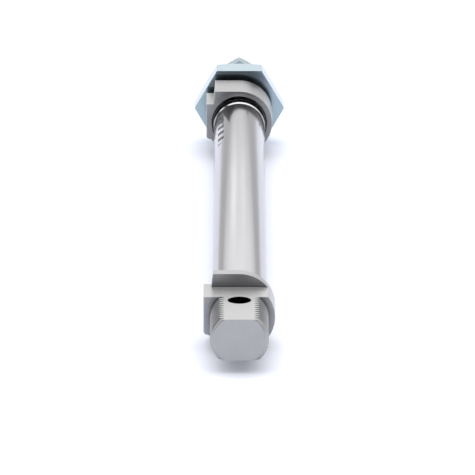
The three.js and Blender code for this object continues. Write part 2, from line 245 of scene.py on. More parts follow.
def prism(name, outline, start, end, edge, axis="Y"):
    """Outline in X and Z pushed along Y, with both rims rounded by edge."""
    rows = [(0.0, start), (0.0, end)]
    if edge > 0:
        turns = [math.pi / 2 * k / ARC_STEPS for k in range(ARC_STEPS + 1)]
        rows = [(edge * (1 - math.sin(a)), start + edge * (1 - math.cos(a))) for a in turns]
        rows += [(inset, start + end - y) for inset, y in reversed(rows)]
    count = len(outline)
    normals = []
    for i in range(count):
        before, here, after = (Vector(outline[j % count]) for j in (i - 1, i, i + 1))
        a, b = (here - before).normalized(), (after - here).normalized()
        n = Vector((-a.y, a.x)) + Vector((-b.y, b.x))
        n.normalize()
        scale = 1 / max(0.5, n.dot(Vector((-a.y, a.x))))
        normals.append(n * scale)
    points = []
    for inset, y in rows:
        for p, n in zip(outline, normals):
            points.append((p[0] + n.x * inset, y, p[1] + n.y * inset))
    faces = []
    for row in range(len(rows) - 1):
        for k in range(count):
            n = (k + 1) % count
            a, b = row * count, (row + 1) * count
            faces.append((a + k, b + k, b + n, a + n))
    faces.append(tuple(range(count)))
    top = (len(rows) - 1) * count
    faces.append(tuple(top + k for k in reversed(range(count))))
    obj = mesh_object(name, points, faces)
    turn_to(obj, axis)
    return obj


def box_solid(name, x, y, z):
    points = [(i, j, k) for i in x for j in y for k in z]
    faces = [(0, 1, 3, 2), (4, 6, 7, 5), (0, 4, 5, 1), (2, 3, 7, 6), (0, 2, 6, 4), (1, 5, 7, 3)]
    return mesh_object(name, points, faces)


def shift(obj, x=0.0, y=0.0, z=0.0):
    obj.data.transform(Matrix.Translation((x, y, z)))
    return obj


def combine(base, other, operation):
    """Joins, cuts or intersects base with other, and removes other."""
    modifier = base.modifiers.new("combine", "BOOLEAN")
    modifier.operation = operation
    modifier.solver = "MANIFOLD"
    modifier.object = other
    bpy.context.view_layer.update()
    shown = base.evaluated_get(bpy.context.evaluated_depsgraph_get())
    mesh = bpy.data.meshes.new_from_object(shown)
    base.modifiers.remove(modifier)
    old = base.data
    base.data = mesh
    bpy.data.meshes.remove(old)
    bpy.data.objects.remove(other)
    if not mesh.polygons:
        raise RuntimeError(f"{base.name} is empty after {operation}")
    return base


def union(base, *others):
    for other in others:
        combine(base, other, "UNION")
    return base


def cut(base, *others):
    for other in others:
        combine(base, other, "DIFFERENCE")
    return base


def common(base, *others):
    for other in others:
        combine(base, other, "INTERSECT")
    return base


def finish_piece(obj, body, node, material, weighted=True):
    """Turns a piece into metres, shades it, puts it on its body and lets it stand for its node."""
    obj.data.transform(Matrix.Scale(MM, 4))
    for polygon in obj.data.polygons:
        polygon.use_smooth = True
    obj.data.set_sharp_from_angle(angle=SMOOTH_ANGLE)
    if weighted:
        modifier = obj.modifiers.new("weighted_normals", "WEIGHTED_NORMAL")
        modifier.keep_sharp = True
    obj.data.materials.clear()
    obj.data.materials.append(material)
    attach(obj, body)
    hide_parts(node)
    return obj


# ======== Materials ========
# Painted shade: shares of the colour kept in tight gaps and inside the cross hole. Milled flats are a little
# paler.
CREVICE_SHADE_SHARE = 0.12
HOLE_SHADE_SHARE = 0.05
MILLED_SHARE = 1.05


class Nodes:
    """Short hand for building one material's nodes."""

    def __init__(self, name):
        self.material = bpy.data.materials.new(name)
        self.material.use_nodes = True
        self.tree = self.material.node_tree
        self.shader = self.tree.nodes["Principled BSDF"]
        self.place = self.add("ShaderNodeTexCoord").outputs["Object"]

    def add(self, kind, **inputs):
        node = self.tree.nodes.new(kind)
        for key, value in inputs.items():
            if hasattr(value, "is_linked"):
                self.tree.links.new(value, node.inputs[key])
            else:
                node.inputs[key].default_value = value
        return node

    def link(self, output, socket):
        self.tree.links.new(output, self.shader.inputs[socket])

    def math(self, operation, a, b=0.0, clamp=False):
        node = self.tree.nodes.new("ShaderNodeMath")
        node.operation = operation
        node.use_clamp = clamp
        for i, value in enumerate((a, b)):
            if hasattr(value, "is_linked"):
                self.tree.links.new(value, node.inputs[i])
            else:
                node.inputs[i].default_value = value
        return node.outputs[0]

    def stretched(self, scale):
        """Object coordinates, in metres, times scale along each axis."""
        node = self.tree.nodes.new("ShaderNodeVectorMath")
        node.operation = "MULTIPLY"
        self.tree.links.new(self.place, node.inputs[0])
        node.inputs[1].default_value = scale
        return node.outputs[0]

    def noise(self, vector, scale, detail=3.0, roughness=0.55):
        node = self.add("ShaderNodeTexNoise", Vector=vector, Scale=scale, Detail=detail, Roughness=roughness)
        return node.outputs[0]

    def span(self, factor, low_in, high_in, low_out, high_out):
        node = self.tree.nodes.new("ShaderNodeMapRange")
        self.tree.links.new(factor, node.inputs["Value"])
        keys = ("From Min", "From Max", "To Min", "To Max")
        for key, value in zip(keys, (low_in, high_in, low_out, high_out)):
            node.inputs[key].default_value = value
        return node.outputs[0]

    def mix(self, factor, a, b):
        node = self.tree.nodes.new("ShaderNodeMix")
        node.data_type = "RGBA"
        for socket, value in ((node.inputs[0], factor), (node.inputs[6], a), (node.inputs[7], b)):
            if hasattr(value, "is_linked"):
                self.tree.links.new(value, socket)
            else:
                socket.default_value = (*value, 1) if isinstance(value, tuple) else value
        return node.outputs[2]

    def bump(self, height, strength, distance, normal=None):
        node = self.add("ShaderNodeBump", Height=height, Strength=strength, Distance=distance)
        if normal is not None:
            self.tree.links.new(normal, node.inputs["Normal"])
        return node.outputs[0]

    def near(self, value, target, tolerance):
        """1 where value is within tolerance of target, else 0."""
        return self.math("LESS_THAN", self.math("ABSOLUTE", self.math("SUBTRACT", value, target)), tolerance)

    def openness(self, reach, full=0.6):
        """0 deep in a gap narrower than reach, 1 on surfaces whose view is open for more than full."""
        node = self.add("ShaderNodeAmbientOcclusion", Distance=reach)
        node.samples = 8
        return self.span(node.outputs["AO"], 0.2, full, 0.0, 1.0)

    def radius(self):
        """Distance from the cylinder axis, in metres."""
        split = self.add("ShaderNodeSeparateXYZ", Vector=self.place)
        xx = self.math("MULTIPLY", split.outputs[0], split.outputs[0])
        zz = self.math("MULTIPLY", split.outputs[2], split.outputs[2])
        return self.math("SQRT", self.math("ADD", xx, zz))


def turned_metal(
    name, color, roughness, marks=0.2, mottle=0.05, round_edge=0.00012, milled=None, hole_shade=None, crevice_shade_reach=0.0
):
    """Machined metal: fine tool marks round the axis, cloudy tone and slightly worn, rounded edges.

    Faces at height milled above or below the axis carry straight cutter marks instead and scatter more
    light. The hole argument gives the place and radius of a drilled hole along Z whose inside is painted
    dark as shade, and the crevice argument is how far painted shade reaches out of tight gaps.
    """
    n = Nodes(name)
    x, y, z = n.add("ShaderNodeSeparateXYZ", Vector=n.place).outputs
    tool_place = n.add("ShaderNodeCombineXYZ", X=n.radius(), Y=y, Z=0.0).outputs[0]
    matt = 0.0
    if milled:
        flat = n.near(n.math("ABSOLUTE", z), milled, 0.00006)
        cutter = n.add("ShaderNodeCombineXYZ", X=n.math("MULTIPLY", x, 0.04), Y=y, Z=1.0).outputs[0]
        tool_place = n.mix(flat, tool_place, cutter)
        matt = flat
    tool = n.noise(tool_place, 5200.0, 2.0)
    cloud = n.noise(n.place, 260.0, 4.0)
    blotch = n.noise(n.place, 1100.0, 3.0)
    tone = n.math("ADD", n.span(cloud, 0.3, 0.7, 0.0, 0.6), n.span(blotch, 0.3, 0.7, 0.0, 0.4))
    shade = n.mix(tone, color, tuple(c * (1 - mottle) for c in color))
    # Painted shade: the colour darkens to a small share in tight gaps and corners, by ambient occlusion;
    # milled flats are left out.
    if crevice_shade_reach:
        open_share = n.math("MAXIMUM", n.openness(crevice_shade_reach, 0.85), matt)
        shade = n.mix(open_share, tuple(c * CREVICE_SHADE_SHARE for c in color), shade)
    if milled:
        shade = n.mix(matt, shade, tuple(c * MILLED_SHARE for c in color))
    # Painted shade: the cross hole's inside is darkened to a small share of the colour.
    if hole_shade:
        place_y, radius = hole_shade
        across = n.math("SUBTRACT", y, place_y)
        square = n.math("ADD", n.math("MULTIPLY", x, x), n.math("MULTIPLY", across, across))
        inside = n.math("LESS_THAN", n.math("SQRT", square), radius)
        shade = n.mix(inside, shade, tuple(c * HOLE_SHADE_SHARE for c in color))
    n.link(shade, "Base Color")
    rough = n.math(
        "ADD",
        n.span(cloud, 0.3, 0.7, roughness - 0.03, roughness + 0.03),
        n.span(tool, 0.3, 0.7, -0.03, 0.03),
    )
    n.link(n.math("ADD", rough, n.math("MULTIPLY", matt, 0.08)), "Roughness")
    n.link(n.math("SUBTRACT", 1.0, n.math("MULTIPLY", matt, 0.45)), "Metallic")
    soft = n.add("ShaderNodeBevel", Radius=round_edge).outputs[0]
    lines = n.bump(tool, marks, 0.00002, soft)
    n.link(n.bump(n.noise(n.place, 7000.0, 2.0), marks * 0.6, 0.00001, lines), "Normal")
    return n.material


def drawn_steel(name, color, roughness, marking):
    """Ground stainless tube: long fine lines, faint rubbed patches and a laser-etched row of slanted bars.

    marking holds the bars' start and end along Y and their start and end angles round the tube.
    """
    n = Nodes(name)
    fine = n.noise(n.stretched((1, 0.012, 1)), 6500.0, 2.0)
    wide = n.noise(n.stretched((1, 0.02, 1)), 900.0, 3.0)
    patch = n.noise(n.stretched((1, 0.25, 1)), 120.0, 4.0)
    tone = n.math("ADD", n.span(patch, 0.3, 0.7, 0.0, 0.5), n.span(wide, 0.3, 0.7, 0.0, 0.5))
    shade = n.mix(tone, color, tuple(c * 0.94 for c in color))
    # Painted shade: the tube darkens in the tight gap at each cap, by ambient occlusion.
    shade = n.mix(n.openness(0.0022), tuple(c * CREVICE_SHADE_SHARE for c in color), shade)
    x, y, z = n.add("ShaderNodeSeparateXYZ", Vector=n.place).outputs
    start, end, first, last = marking
    angle = n.math("ARCTAN2", x, z)
    along = n.math("MULTIPLY", n.math("GREATER_THAN", y, start), n.math("LESS_THAN", y, end))
    round_tube = n.math("MULTIPLY", n.math("GREATER_THAN", angle, first), n.math("LESS_THAN", angle, last))
    slant = n.math("ADD", n.math("MULTIPLY", y, 1 / MARK_PITCH), n.math("MULTIPLY", angle, 0.9))
    bars = n.math("LESS_THAN", n.math("FRACT", slant), 0.46)
    etched = n.math("MULTIPLY", n.math("MULTIPLY", along, round_tube), bars)
    worn = n.math("MULTIPLY", etched, n.span(n.noise(n.place, 1500.0, 2.0), 0.3, 0.5, 0.75, 1.0))
    n.link(n.mix(worn, shade, (0.02, 0.021, 0.02)), "Base Color")
    ground = n.math(
        "ADD",
        n.span(patch, 0.3, 0.7, roughness - 0.015, roughness + 0.02),
        n.span(wide, 0.3, 0.7, -0.015, 0.015),
    )
    n.link(n.math("ADD", ground, n.math("MULTIPLY", worn, 0.45)), "Roughness")
    n.link(n.math("SUBTRACT", 1.0, worn), "Metallic")
    n.shader.inputs["Specular Tint"].default_value = (0.75, 0.75, 0.76, 1)
    n.link(n.bump(fine, 0.1, 0.00001), "Normal")
    return n.material


def plated_steel(name, color, roughness):
    """Bright zinc plate: faint blue and green interference clouds and small rubs over smooth steel."""
    n = Nodes(name)
    cloud = n.noise(n.place, 130.0, 4.0)
    rubs = n.noise(n.place, 1500.0, 3.0)
    grain = n.noise(n.place, 6000.0, 2.0)
    green = (color[0] * 0.93, color[1] * 1.02, color[2] * 0.94)
    shade = n.mix(n.span(cloud, 0.35, 0.65, 0.0, 1.0), color, green)
    # Painted shade: the plate darkens strongly in tight gaps, by ambient occlusion.
    n.link(n.mix(n.openness(0.0015), tuple(c * 0.2 for c in color), shade), "Base Color")
    rough = n.math(
        "ADD", n.span(cloud, 0.3, 0.7, roughness - 0.02, roughness + 0.03), n.span(rubs, 0.5, 0.75, 0.0, 0.08)
    )
    n.link(rough, "Roughness")
    n.shader.inputs["Metallic"].default_value = 1.0
    soft = n.add("ShaderNodeBevel", Radius=0.0002).outputs[0]
    n.link(n.bump(grain, 0.12, 0.00001, soft), "Normal")
    return n.material


def moulded(name, color, roughness, grain=0.2):
    """Rubber or plastic with a fine moulded grain."""
    n = Nodes(name)
    cloud = n.noise(n.place, 400.0, 3.0)
    fine = n.noise(n.place, 5000.0, 2.0)
    pale = tuple(min(1.0, c * 1.25 + 0.01) for c in color)
    n.link(n.mix(n.span(cloud, 0.35, 0.7, 0.0, 1.0), color, pale), "Base Color")
    n.link(n.span(cloud, 0.3, 0.7, roughness - 0.06, roughness + 0.06), "Roughness")
    n.link(n.bump(fine, grain, 0.00002), "Normal")
    return n.material


MARK_PITCH = 0.0078
MARKING = (FRONT_CAP_BACK * MM - 0.052, FRONT_CAP_BACK * MM - 0.0120, math.radians(-57), math.radians(-37))
# The caps carry painted shade in tight gaps, and the rear cap also inside its cross hole.
CAP_METAL = turned_metal("cap_aluminium", (0.36, 0.36, 0.365), 0.33, milled=TONGUE_HALF * MM, crevice_shade_reach=0.012)
REAR_CAP_METAL = turned_metal(
    "rear_cap_aluminium", (0.36, 0.36, 0.365), 0.33, milled=TONGUE_HALF * MM,
    hole_shade=(CROSS_HOLE_Y * MM, CROSS_HOLE_R * MM + 0.0001), crevice_shade_reach=0.008,
)
PISTON_METAL = turned_metal("piston_aluminium", (0.72, 0.73, 0.75), 0.35)
BARREL_STEEL = drawn_steel("barrel_stainless", (0.54, 0.532, 0.54), 0.12, MARKING)
ZINC = plated_steel("zinc_plate", (0.38, 0.455, 0.525), 0.2)
CHROME = turned_metal("hard_chrome", (0.55, 0.56, 0.57), 0.12, marks=0.05, mottle=0.02)
BRONZE = turned_metal("bearing_bronze", (0.62, 0.45, 0.24), 0.45, marks=0.4, mottle=0.2)
NITRILE = moulded("nitrile_rubber", (0.03, 0.03, 0.033), 0.55)
POLYURETHANE = moulded("seal_polyurethane", (0.10, 0.24, 0.15), 0.35, grain=0.1)
GUIDE_PLASTIC = moulded("guide_ring_plastic", (0.24, 0.21, 0.17), 0.5)
MAGNET = moulded("magnet_plastic", (0.06, 0.06, 0.065), 0.6, grain=0.5)


# ======== End caps ========
def arc(centre, radius, start, end, steps):
    """Points on a circle in X and Z, without the first one."""
    cx, cz = centre
    angles = [start + (end - start) * k / steps for k in range(1, steps + 1)]
    return [(cx + radius * math.cos(a), cz + radius * math.sin(a)) for a in angles]


def cap_outline():
    """Round cap with a raised block at the top left and a flat port boss on the left, anticlockwise."""
    foot = math.atan2(BOSS_BOTTOM, -math.sqrt(CAP_R**2 - BOSS_BOTTOM**2)) % TAU
    corners = [
        (0.0, CAP_R),
        (BLOCK_LEFT_TOP, CAP_R),
        (BLOCK_LEFT_FOOT, TONGUE_HALF),
        (-CAP_R, TONGUE_HALF),
        (-CAP_R, BOSS_BOTTOM + BOSS_CORNER_R),
    ]
    outline = soften_outline(corners, EDGE_ROUND)
    centre = (-CAP_R + BOSS_CORNER_R, BOSS_BOTTOM + BOSS_CORNER_R)
    outline += arc(centre, BOSS_CORNER_R, math.pi, 1.5 * math.pi, 8)
    outline.append((CAP_R * math.cos(foot) - 0.3, BOSS_BOTTOM))
    outline += arc((0, 0), CAP_R, foot - 0.002, TAU + math.pi / 2, 150)[:-1]
    return outline


def soften_outline(corners, radius):
    """Rounds the inner corners of an open run of corners, and keeps its two ends."""
    return soften(corners, radius, closed=False)


def spigot(name, face, way):
    """Turned plug that enters the barrel, with the crimp groove and the O-ring groove."""
    stations = [
        (0, -1.4), (SPIGOT_R, -1.4), (SPIGOT_R, 0.0), (9.35, 0.4), (9.35, 4.7), (SPIGOT_R, 5.1),
        (SPIGOT_R, 5.5), (8.4, 5.5), (8.4, 7.4), (SPIGOT_R, 7.4),
        (SPIGOT_R, SPIGOT_LENGTH - 0.5), (9.35, SPIGOT_LENGTH), (0, SPIGOT_LENGTH),
    ]
    profile = [(r, face + way * s) for r, s in stations]
    if way < 0:
        profile.reverse()
    return lathe(name, soften(profile, 0.12, closed=False))


def ring_solid(name, inner, outer, start, end, corner=0.15, steps=ROUND):
    profile = [(inner, start), (outer, start), (outer, end), (inner, end)]
    return lathe(name, soften(profile, corner), steps)


def plug(name, radius, start, end, steps=ROUND):
    return lathe(name, [(0, start), (radius, start), (radius, end), (0, end)], steps)


def cap_block(name, start, end, face, way):
    """The cap's body with the recess for the barrel in the face on the barrel's side."""
    block = prism(name, cap_outline(), start, end, EDGE_ROUND)
    a, b = sorted((face - way * RECESS_DEPTH, face + way))
    rim = 0.25
    wide = RECESS_R + rim
    edge = face - way * rim
    if way > 0:
        outside = [(RECESS_R, a), (RECESS_R, edge), (wide, face), (wide, b)]
    else:
        outside = [(wide, a), (wide, face), (RECESS_R, edge), (RECESS_R, b)]
    recess = [(RECESS_INNER_R, a), *outside, (RECESS_INNER_R, b)]
    return cut(block, lathe(name + "_recess", recess))


def port_cutters(name, y):
    """Threaded port on the left boss: mouth, thread and the drilling to the axis."""
    bottom = CAP_R - PORT_DEPTH
    rim = PORT_MAJOR_R + 0.3
    mouth = lathe(name + "_mouth", [
        (0, bottom - 1.2), (PORT_MINOR_R - 1.6, bottom - 1.2), (PORT_MINOR_R, bottom),
        (PORT_MINOR_R, CAP_R - 0.9), (rim, CAP_R), (rim, CAP_R + 1), (0, CAP_R + 1),
    ], SMALL_ROUND, "-X")
    first, last = bottom + 0.3, CAP_R + 0.5
    thread = thread_solid(
        name + "_thread", PORT_MAJOR_R, PORT_MINOR_R - THREAD_OVERLAP, PORT_PITCH,
        first, last, SMALL_ROUND, "-X",
    )
    outer = PORT_MAJOR_R + 1
    sleeve = lathe(
        name + "_sleeve", [(0, first), (outer, first), (outer, last), (0, last)], SMALL_ROUND, "-X"
    )
    common(thread, sleeve)
    drill = lathe(name + "_drill", [(0, 0), (1.6, 0), (1.6, bottom), (0, bottom)], 48, "-X")
    return [shift(mouth, y=y), shift(thread, y=y), shift(drill, y=y)]


def screw_hole(name, y):
    """Stepped hole of a cushioning screw, with a chamfered mouth."""
    mouth = -BLOCK_LEFT_FOOT
    face = mouth - 0.2
    hole = lathe(name, [
        (0, 1), (1.85, 2.2), (1.85, face - 0.5), (2.15, face), (2.15, mouth + 1), (0, mouth + 1),
    ], 64, "-X")
    return shift(hole, y=y, z=SCREW_HEIGHT)


def cushion_groove(name, mouth, way):
    a, b = sorted((mouth - way * 2, mouth - way * 5.2))
    return plug(name, 7.4, a, b)


def tongue_flat(name, side):
    """Block that mills one flat of the tongue, with a rounded foot at the wall it ends in."""
    radius = 0.35
    foot = [
        (TONGUE_END - radius + radius * math.sin(a), TONGUE_HALF + radius - radius * math.cos(a))
        for a in (math.pi / 2 * k / 6 for k in range(7))
    ]
    corners = [(-2, TONGUE_HALF)] + foot + [(TONGUE_END, 20), (-2, 20)]
    points = [(x, y, side * z) for x in (-20, 20) for y, z in corners]
    count = len(corners)
    faces = [(k, (k + 1) % count, (k + 1) % count + count, k + count) for k in range(count)]
    faces += [tuple(reversed(range(count))), tuple(range(count, 2 * count))]
    if side < 0:
        faces = [tuple(reversed(face)) for face in faces]
    return mesh_object(name, points, faces)


def cross_hole():
    chamfer, reach = 0.2, TONGUE_HALF + 1
    rim = CROSS_HOLE_R + chamfer
    profile = [
        (0, -reach), (rim, -reach), (rim, -TONGUE_HALF), (CROSS_HOLE_R, chamfer - TONGUE_HALF),
        (CROSS_HOLE_R, TONGUE_HALF - chamfer), (rim, TONGUE_HALF), (rim, reach), (0, reach),
    ]
    return shift(lathe("cross_hole", profile, SMALL_ROUND, "Z"), y=CROSS_HOLE_Y)


def threaded_stud():
    """Rear stud with the fine thread and a chamfered end."""
    thread = thread_solid("stud", NECK_R, STUD_ROOT_R, STUD_PITCH, STUD_END, REAR_CAP_BACK + 1)
    envelope = lathe("stud_envelope", soften([
        (0, STUD_END), (NECK_R - 1.2, STUD_END), (NECK_R + 0.2, STUD_END + 1.3),
        (NECK_R + 0.2, REAR_CAP_BACK + 0.8), (0, REAR_CAP_BACK + 0.8),
    ], 0.12, closed=False))
    return common(thread, envelope)


def threaded_neck():
    """Front neck with the fine thread, an undercut at the shoulder and a chamfered end."""
    thread = thread_solid("neck", NECK_R, STUD_ROOT_R, STUD_PITCH, SHOULDER, NECK_END)
    envelope = lathe("neck_envelope", soften([
        (0, SHOULDER - 0.8), (NECK_R - 1.4, SHOULDER - 0.8), (NECK_R - 1.4, SHOULDER + 1.2),
        (NECK_R + 0.2, SHOULDER + 2.4), (NECK_R + 0.2, NECK_END - 1.2), (NECK_R - 1.0, NECK_END),
        (0, NECK_END),
    ], 0.12, closed=False))
    return common(thread, envelope)


def make_rear_cap():
    cap = cap_block("rear_cap", REAR_CAP_BACK, REAR_CAP_FRONT, REAR_CAP_FRONT, 1)
    union(cap, threaded_stud(), spigot("rear_spigot", REAR_CAP_FRONT, 1))
    cut(
        cap,
        tongue_flat("upper_flat", 1),
        tongue_flat("lower_flat", -1),
        cross_hole(),
        plug("rear_bore", CUSHION_BORE_R, REAR_CAP_BACK + 4, REAR_SPIGOT_END + 1),
        cushion_groove("rear_groove", REAR_SPIGOT_END, 1),
        *port_cutters("rear_port", REAR_PORT_Y),
        screw_hole("rear_screw_hole", REAR_SCREW_Y),
    )
    finish_piece(cap, "barrel", "rear_end_cap", REAR_CAP_METAL)


def make_front_cap():
    cap = cap_block("front_cap", FRONT_CAP_BACK, SHOULDER, FRONT_CAP_BACK, -1)
    union(cap, threaded_neck(), spigot("front_spigot", FRONT_CAP_BACK, -1))
    bush_start, bush_end = low("rod_bearing_bush", 1) - 0.1, high("rod_bearing_bush", 1) + 0.1
    seal_end = high("rod_seal", 1) + 0.15
    bores = lathe("bearing_bores", [
        (0, FRONT_SPIGOT_END - 1), (CUSHION_BORE_R, FRONT_SPIGOT_END - 1), (CUSHION_BORE_R, SHOULDER - 5),
        (ROD_R + 0.3, SHOULDER - 5), (ROD_R + 0.3, bush_start), (5.5, bush_start), (5.5, bush_end),
        (7.0, bush_end), (7.0, seal_end), (7.6, seal_end), (7.6, NECK_END - 0.4), (8.0, NECK_END),
        (8.0, NECK_END + 1), (0, NECK_END + 1),
    ])
    cut(
        cap,
        bores,
        cushion_groove("front_groove", FRONT_SPIGOT_END, -1),
        *port_cutters("front_port", FRONT_PORT_Y),
        screw_hole("front_screw_hole", FRONT_SCREW_Y),
    )
    finish_piece(cap, "barrel", "front_bearing_cap", CAP_METAL)


# ======== Barrel ========
def make_barrel():
    """Thin tube whose ends are rolled down into the caps' crimp grooves, with a bead after each."""
    wall = TUBE_R - BORE_R
    steps = [
        (-1.2, 0.0), (-0.2, 0.0), (0.4, -0.4), (4.0, -0.4), (4.6, 0.12), (5.0, 0.23), (5.5, 0.23),
        (6.2, 0.06), (6.8, -0.06), (7.3, -0.06), (7.9, 0.0),
    ]
    rear = [(TUBE_R + d, REAR_CAP_FRONT + s) for s, d in steps]
    front = [(TUBE_R + d, FRONT_CAP_BACK - s) for s, d in reversed(steps)]
    outside = soften(rear + front, 0.3, closed=False)
    inside = [(r - wall, y) for r, y in reversed(outside)]
    tube = lathe("barrel_tube", outside + inside, 256)
    finish_piece(tube, "barrel", "cylinder_barrel", BARREL_STEEL, weighted=False)


# ======== Nuts ========
def hexagon_nut(name, flats, start, end, major, minor, pitch, turn, rear_r, front_r):
    """Hexagon nut, threaded inside, with faces turned down to rear_r and front_r.

    At turn 0 a flat is on top.
    """
    corner_r = flats / math.sqrt(3)
    corners = [(turn + TAU * i / 6) for i in range(6)]
    outline = [(corner_r * math.cos(a), corner_r * math.sin(a)) for a in corners]
    nut = prism(name, outline, start, end, 0.0)
    outer = corner_r + 0.2
    lean = math.tan(math.radians(30))
    chamfer = lathe(name + "_chamfer", [
        (0, start), (rear_r, start), (outer, start + (outer - rear_r) * lean),
        (outer, end - (outer - front_r) * lean), (front_r, end), (0, end),
    ])
    common(nut, chamfer)
    sink = major - minor + 0.25
    hole = lathe(name + "_hole", [
        (0, start - 1), (minor + sink, start - 1), (minor + sink, start), (minor, start + sink),
        (minor, end - sink), (minor + sink, end), (minor + sink, end + 1), (0, end + 1),
    ])
    thread = thread_solid(name + "_thread", major, minor - THREAD_OVERLAP, pitch, start, end)
    sleeve = plug(name + "_sleeve", major + 1, start - 0.5, end + 0.5)
    return cut(nut, hole, common(thread, sleeve))


def make_nuts():
    start, end = low("mounting_nut", 1), high("mounting_nut", 1)
    nut = hexagon_nut(
        "mounting_nut_hexagon", 32, start, end, NECK_R + 0.95, NECK_R + 0.08, STUD_PITCH, 0.0, 18.2, 15.6
    )
    finish_piece(nut, "barrel", "mounting_nut", ZINC)
    start, end = low("rod_nut", 1), high("rod_nut", 1)
    nut = hexagon_nut(
        "rod_nut_hexagon", 13, start, end, ROD_R + 0.7, ROD_R + 0.06, ROD_PITCH, math.pi / 6, 6.3, 6.3
    )
    finish_piece(nut, "rod", "rod_nut", ZINC)


# ======== Rod ========
def make_rod():
    """Chromed rod with its thread, wrench flats, centre hole and the slimmer tail inside the piston."""
    shoulder = high("front_cushion_sleeve", 1) + 0.3
    body = lathe("rod", soften([
        (0, ROD_TAIL), (2.5, ROD_TAIL), (3, ROD_TAIL + 0.5), (3, shoulder), (ROD_R, shoulder),
        (ROD_R, ROD_THREAD_START + 0.2), (3.3, ROD_THREAD_START + 0.9), (3.3, ROD_THREAD_START + 1.2),
        (0, ROD_THREAD_START + 1.2),
    ], 0.08, closed=False), SMALL_ROUND)
    thread = thread_solid(
        "rod_thread", ROD_R, ROD_R - 0.7, ROD_PITCH, ROD_THREAD_START + 1, ROD_TIP, SMALL_ROUND
    )
    envelope = lathe("rod_envelope", soften([
        (0, ROD_THREAD_START + 1), (3.2, ROD_THREAD_START + 1), (ROD_R + 0.1, ROD_THREAD_START + 2),
        (ROD_R + 0.1, ROD_TIP - 1), (ROD_R - 0.9, ROD_TIP), (0, ROD_TIP),
    ], 0.08, closed=False), SMALL_ROUND)
    union(body, common(thread, envelope))
    centre = lathe("centre_hole", [
        (0, ROD_TIP - 2.2), (0.6, ROD_TIP - 1.6), (0.6, ROD_TIP - 0.9),
        (1.3, ROD_TIP + 0.2), (0, ROD_TIP + 0.2),
    ], 48)
    span = (ROD_THREAD_START - 4, ROD_THREAD_START - 0.2)
    cut(
        body,
        centre,
        box_solid("right_flat", (3.5, 6), span, (-5, 5)),
        box_solid("left_flat", (-6, -3.5), span, (-5, 5)),
    )
    finish_piece(body, "rod", "piston_rod", CHROME)


# ======== Rings and inner pieces ========
def o_ring(name, radius, section, y, steps=ROUND):
    profile = [
        (radius + section / 2 * math.cos(a), y + section / 2 * math.sin(a))
        for a in (TAU * k / 16 for k in range(16))
    ]
    return lathe(name, profile, steps)


def middle(node):
    return (low(node, 1) + high(node, 1)) / 2


def half_profile(stations, centre, way):
    profile = [(r, centre + way * s) for r, s in stations]
    if way < 0:
        profile.reverse()
    return profile


def make_piston():
    centre = middle("piston_guide_ring")
    end = high("front_piston_half", 1) - centre
    half = [
        (3.15, 2.1), (7.6, 2.1), (7.6, 0.1), (8.5, 0.1), (8.5, 2.7), (9.6, 2.7), (9.6, 3.7), (7.4, 3.7),
        (7.4, 7.3), (9.6, 7.3), (9.6, end - 0.5), (9.1, end), (3.15, end),
    ]
    lip = [
        (7.55, 3.9), (9.4, 3.9), (9.75, 5.2), (9.9, 7.1), (9.2, 7.1), (8.7, 5.6), (8.3, 7.1), (7.55, 7.1),
    ]
    for end_name, way in (("rear", -1), ("front", 1)):
        piece = lathe(f"{end_name}_piston_disc", soften(half_profile(half, centre, way), 0.1))
        finish_piece(piece, "rod", f"{end_name}_piston_half", PISTON_METAL)
        seal = lathe(f"{end_name}_piston_lip_seal", soften(half_profile(lip, centre, way), 0.15))
        finish_piece(seal, "piston_rings", f"{end_name}_piston_seal", POLYURETHANE)
        nose = low("rear_cushion_sleeve", 1) if way < 0 else high("front_cushion_sleeve", 1)
        base = high("rear_cushion_sleeve", 1) if way < 0 else low("front_cushion_sleeve", 1)
        length = abs(nose - base)
        sleeve = [(3.15, 0), (5, 0), (5, length - 2), (4.5, length), (3.15, length)]
        piece = lathe(f"{end_name}_sleeve", soften(half_profile(sleeve, base, way), 0.15), SMALL_ROUND)
        finish_piece(piece, "rod", f"{end_name}_cushion_sleeve", PISTON_METAL)
    ring = ring_solid("guide_band", 8.65, 9.9, centre - 2.5, centre + 2.5)
    finish_piece(ring, "piston_rings", "piston_guide_ring", GUIDE_PLASTIC)
    magnet = ring_solid("ring_magnet", 4.2, 7.4, centre - 1.9, centre + 1.9)
    finish_piece(magnet, "rod", "magnet_ring", MAGNET)
    start, end = low("piston_lock_nut", 1), high("piston_lock_nut", 1)
    nut = ring_solid("round_lock_nut", 3.1, 4.6, start, end, 0.3, SMALL_ROUND)
    cut(nut, box_solid("lock_slot", (-5, 5), (start - 1, start + 1), (-0.6, 0.6)))
    finish_piece(nut, "rod", "piston_lock_nut", ZINC)


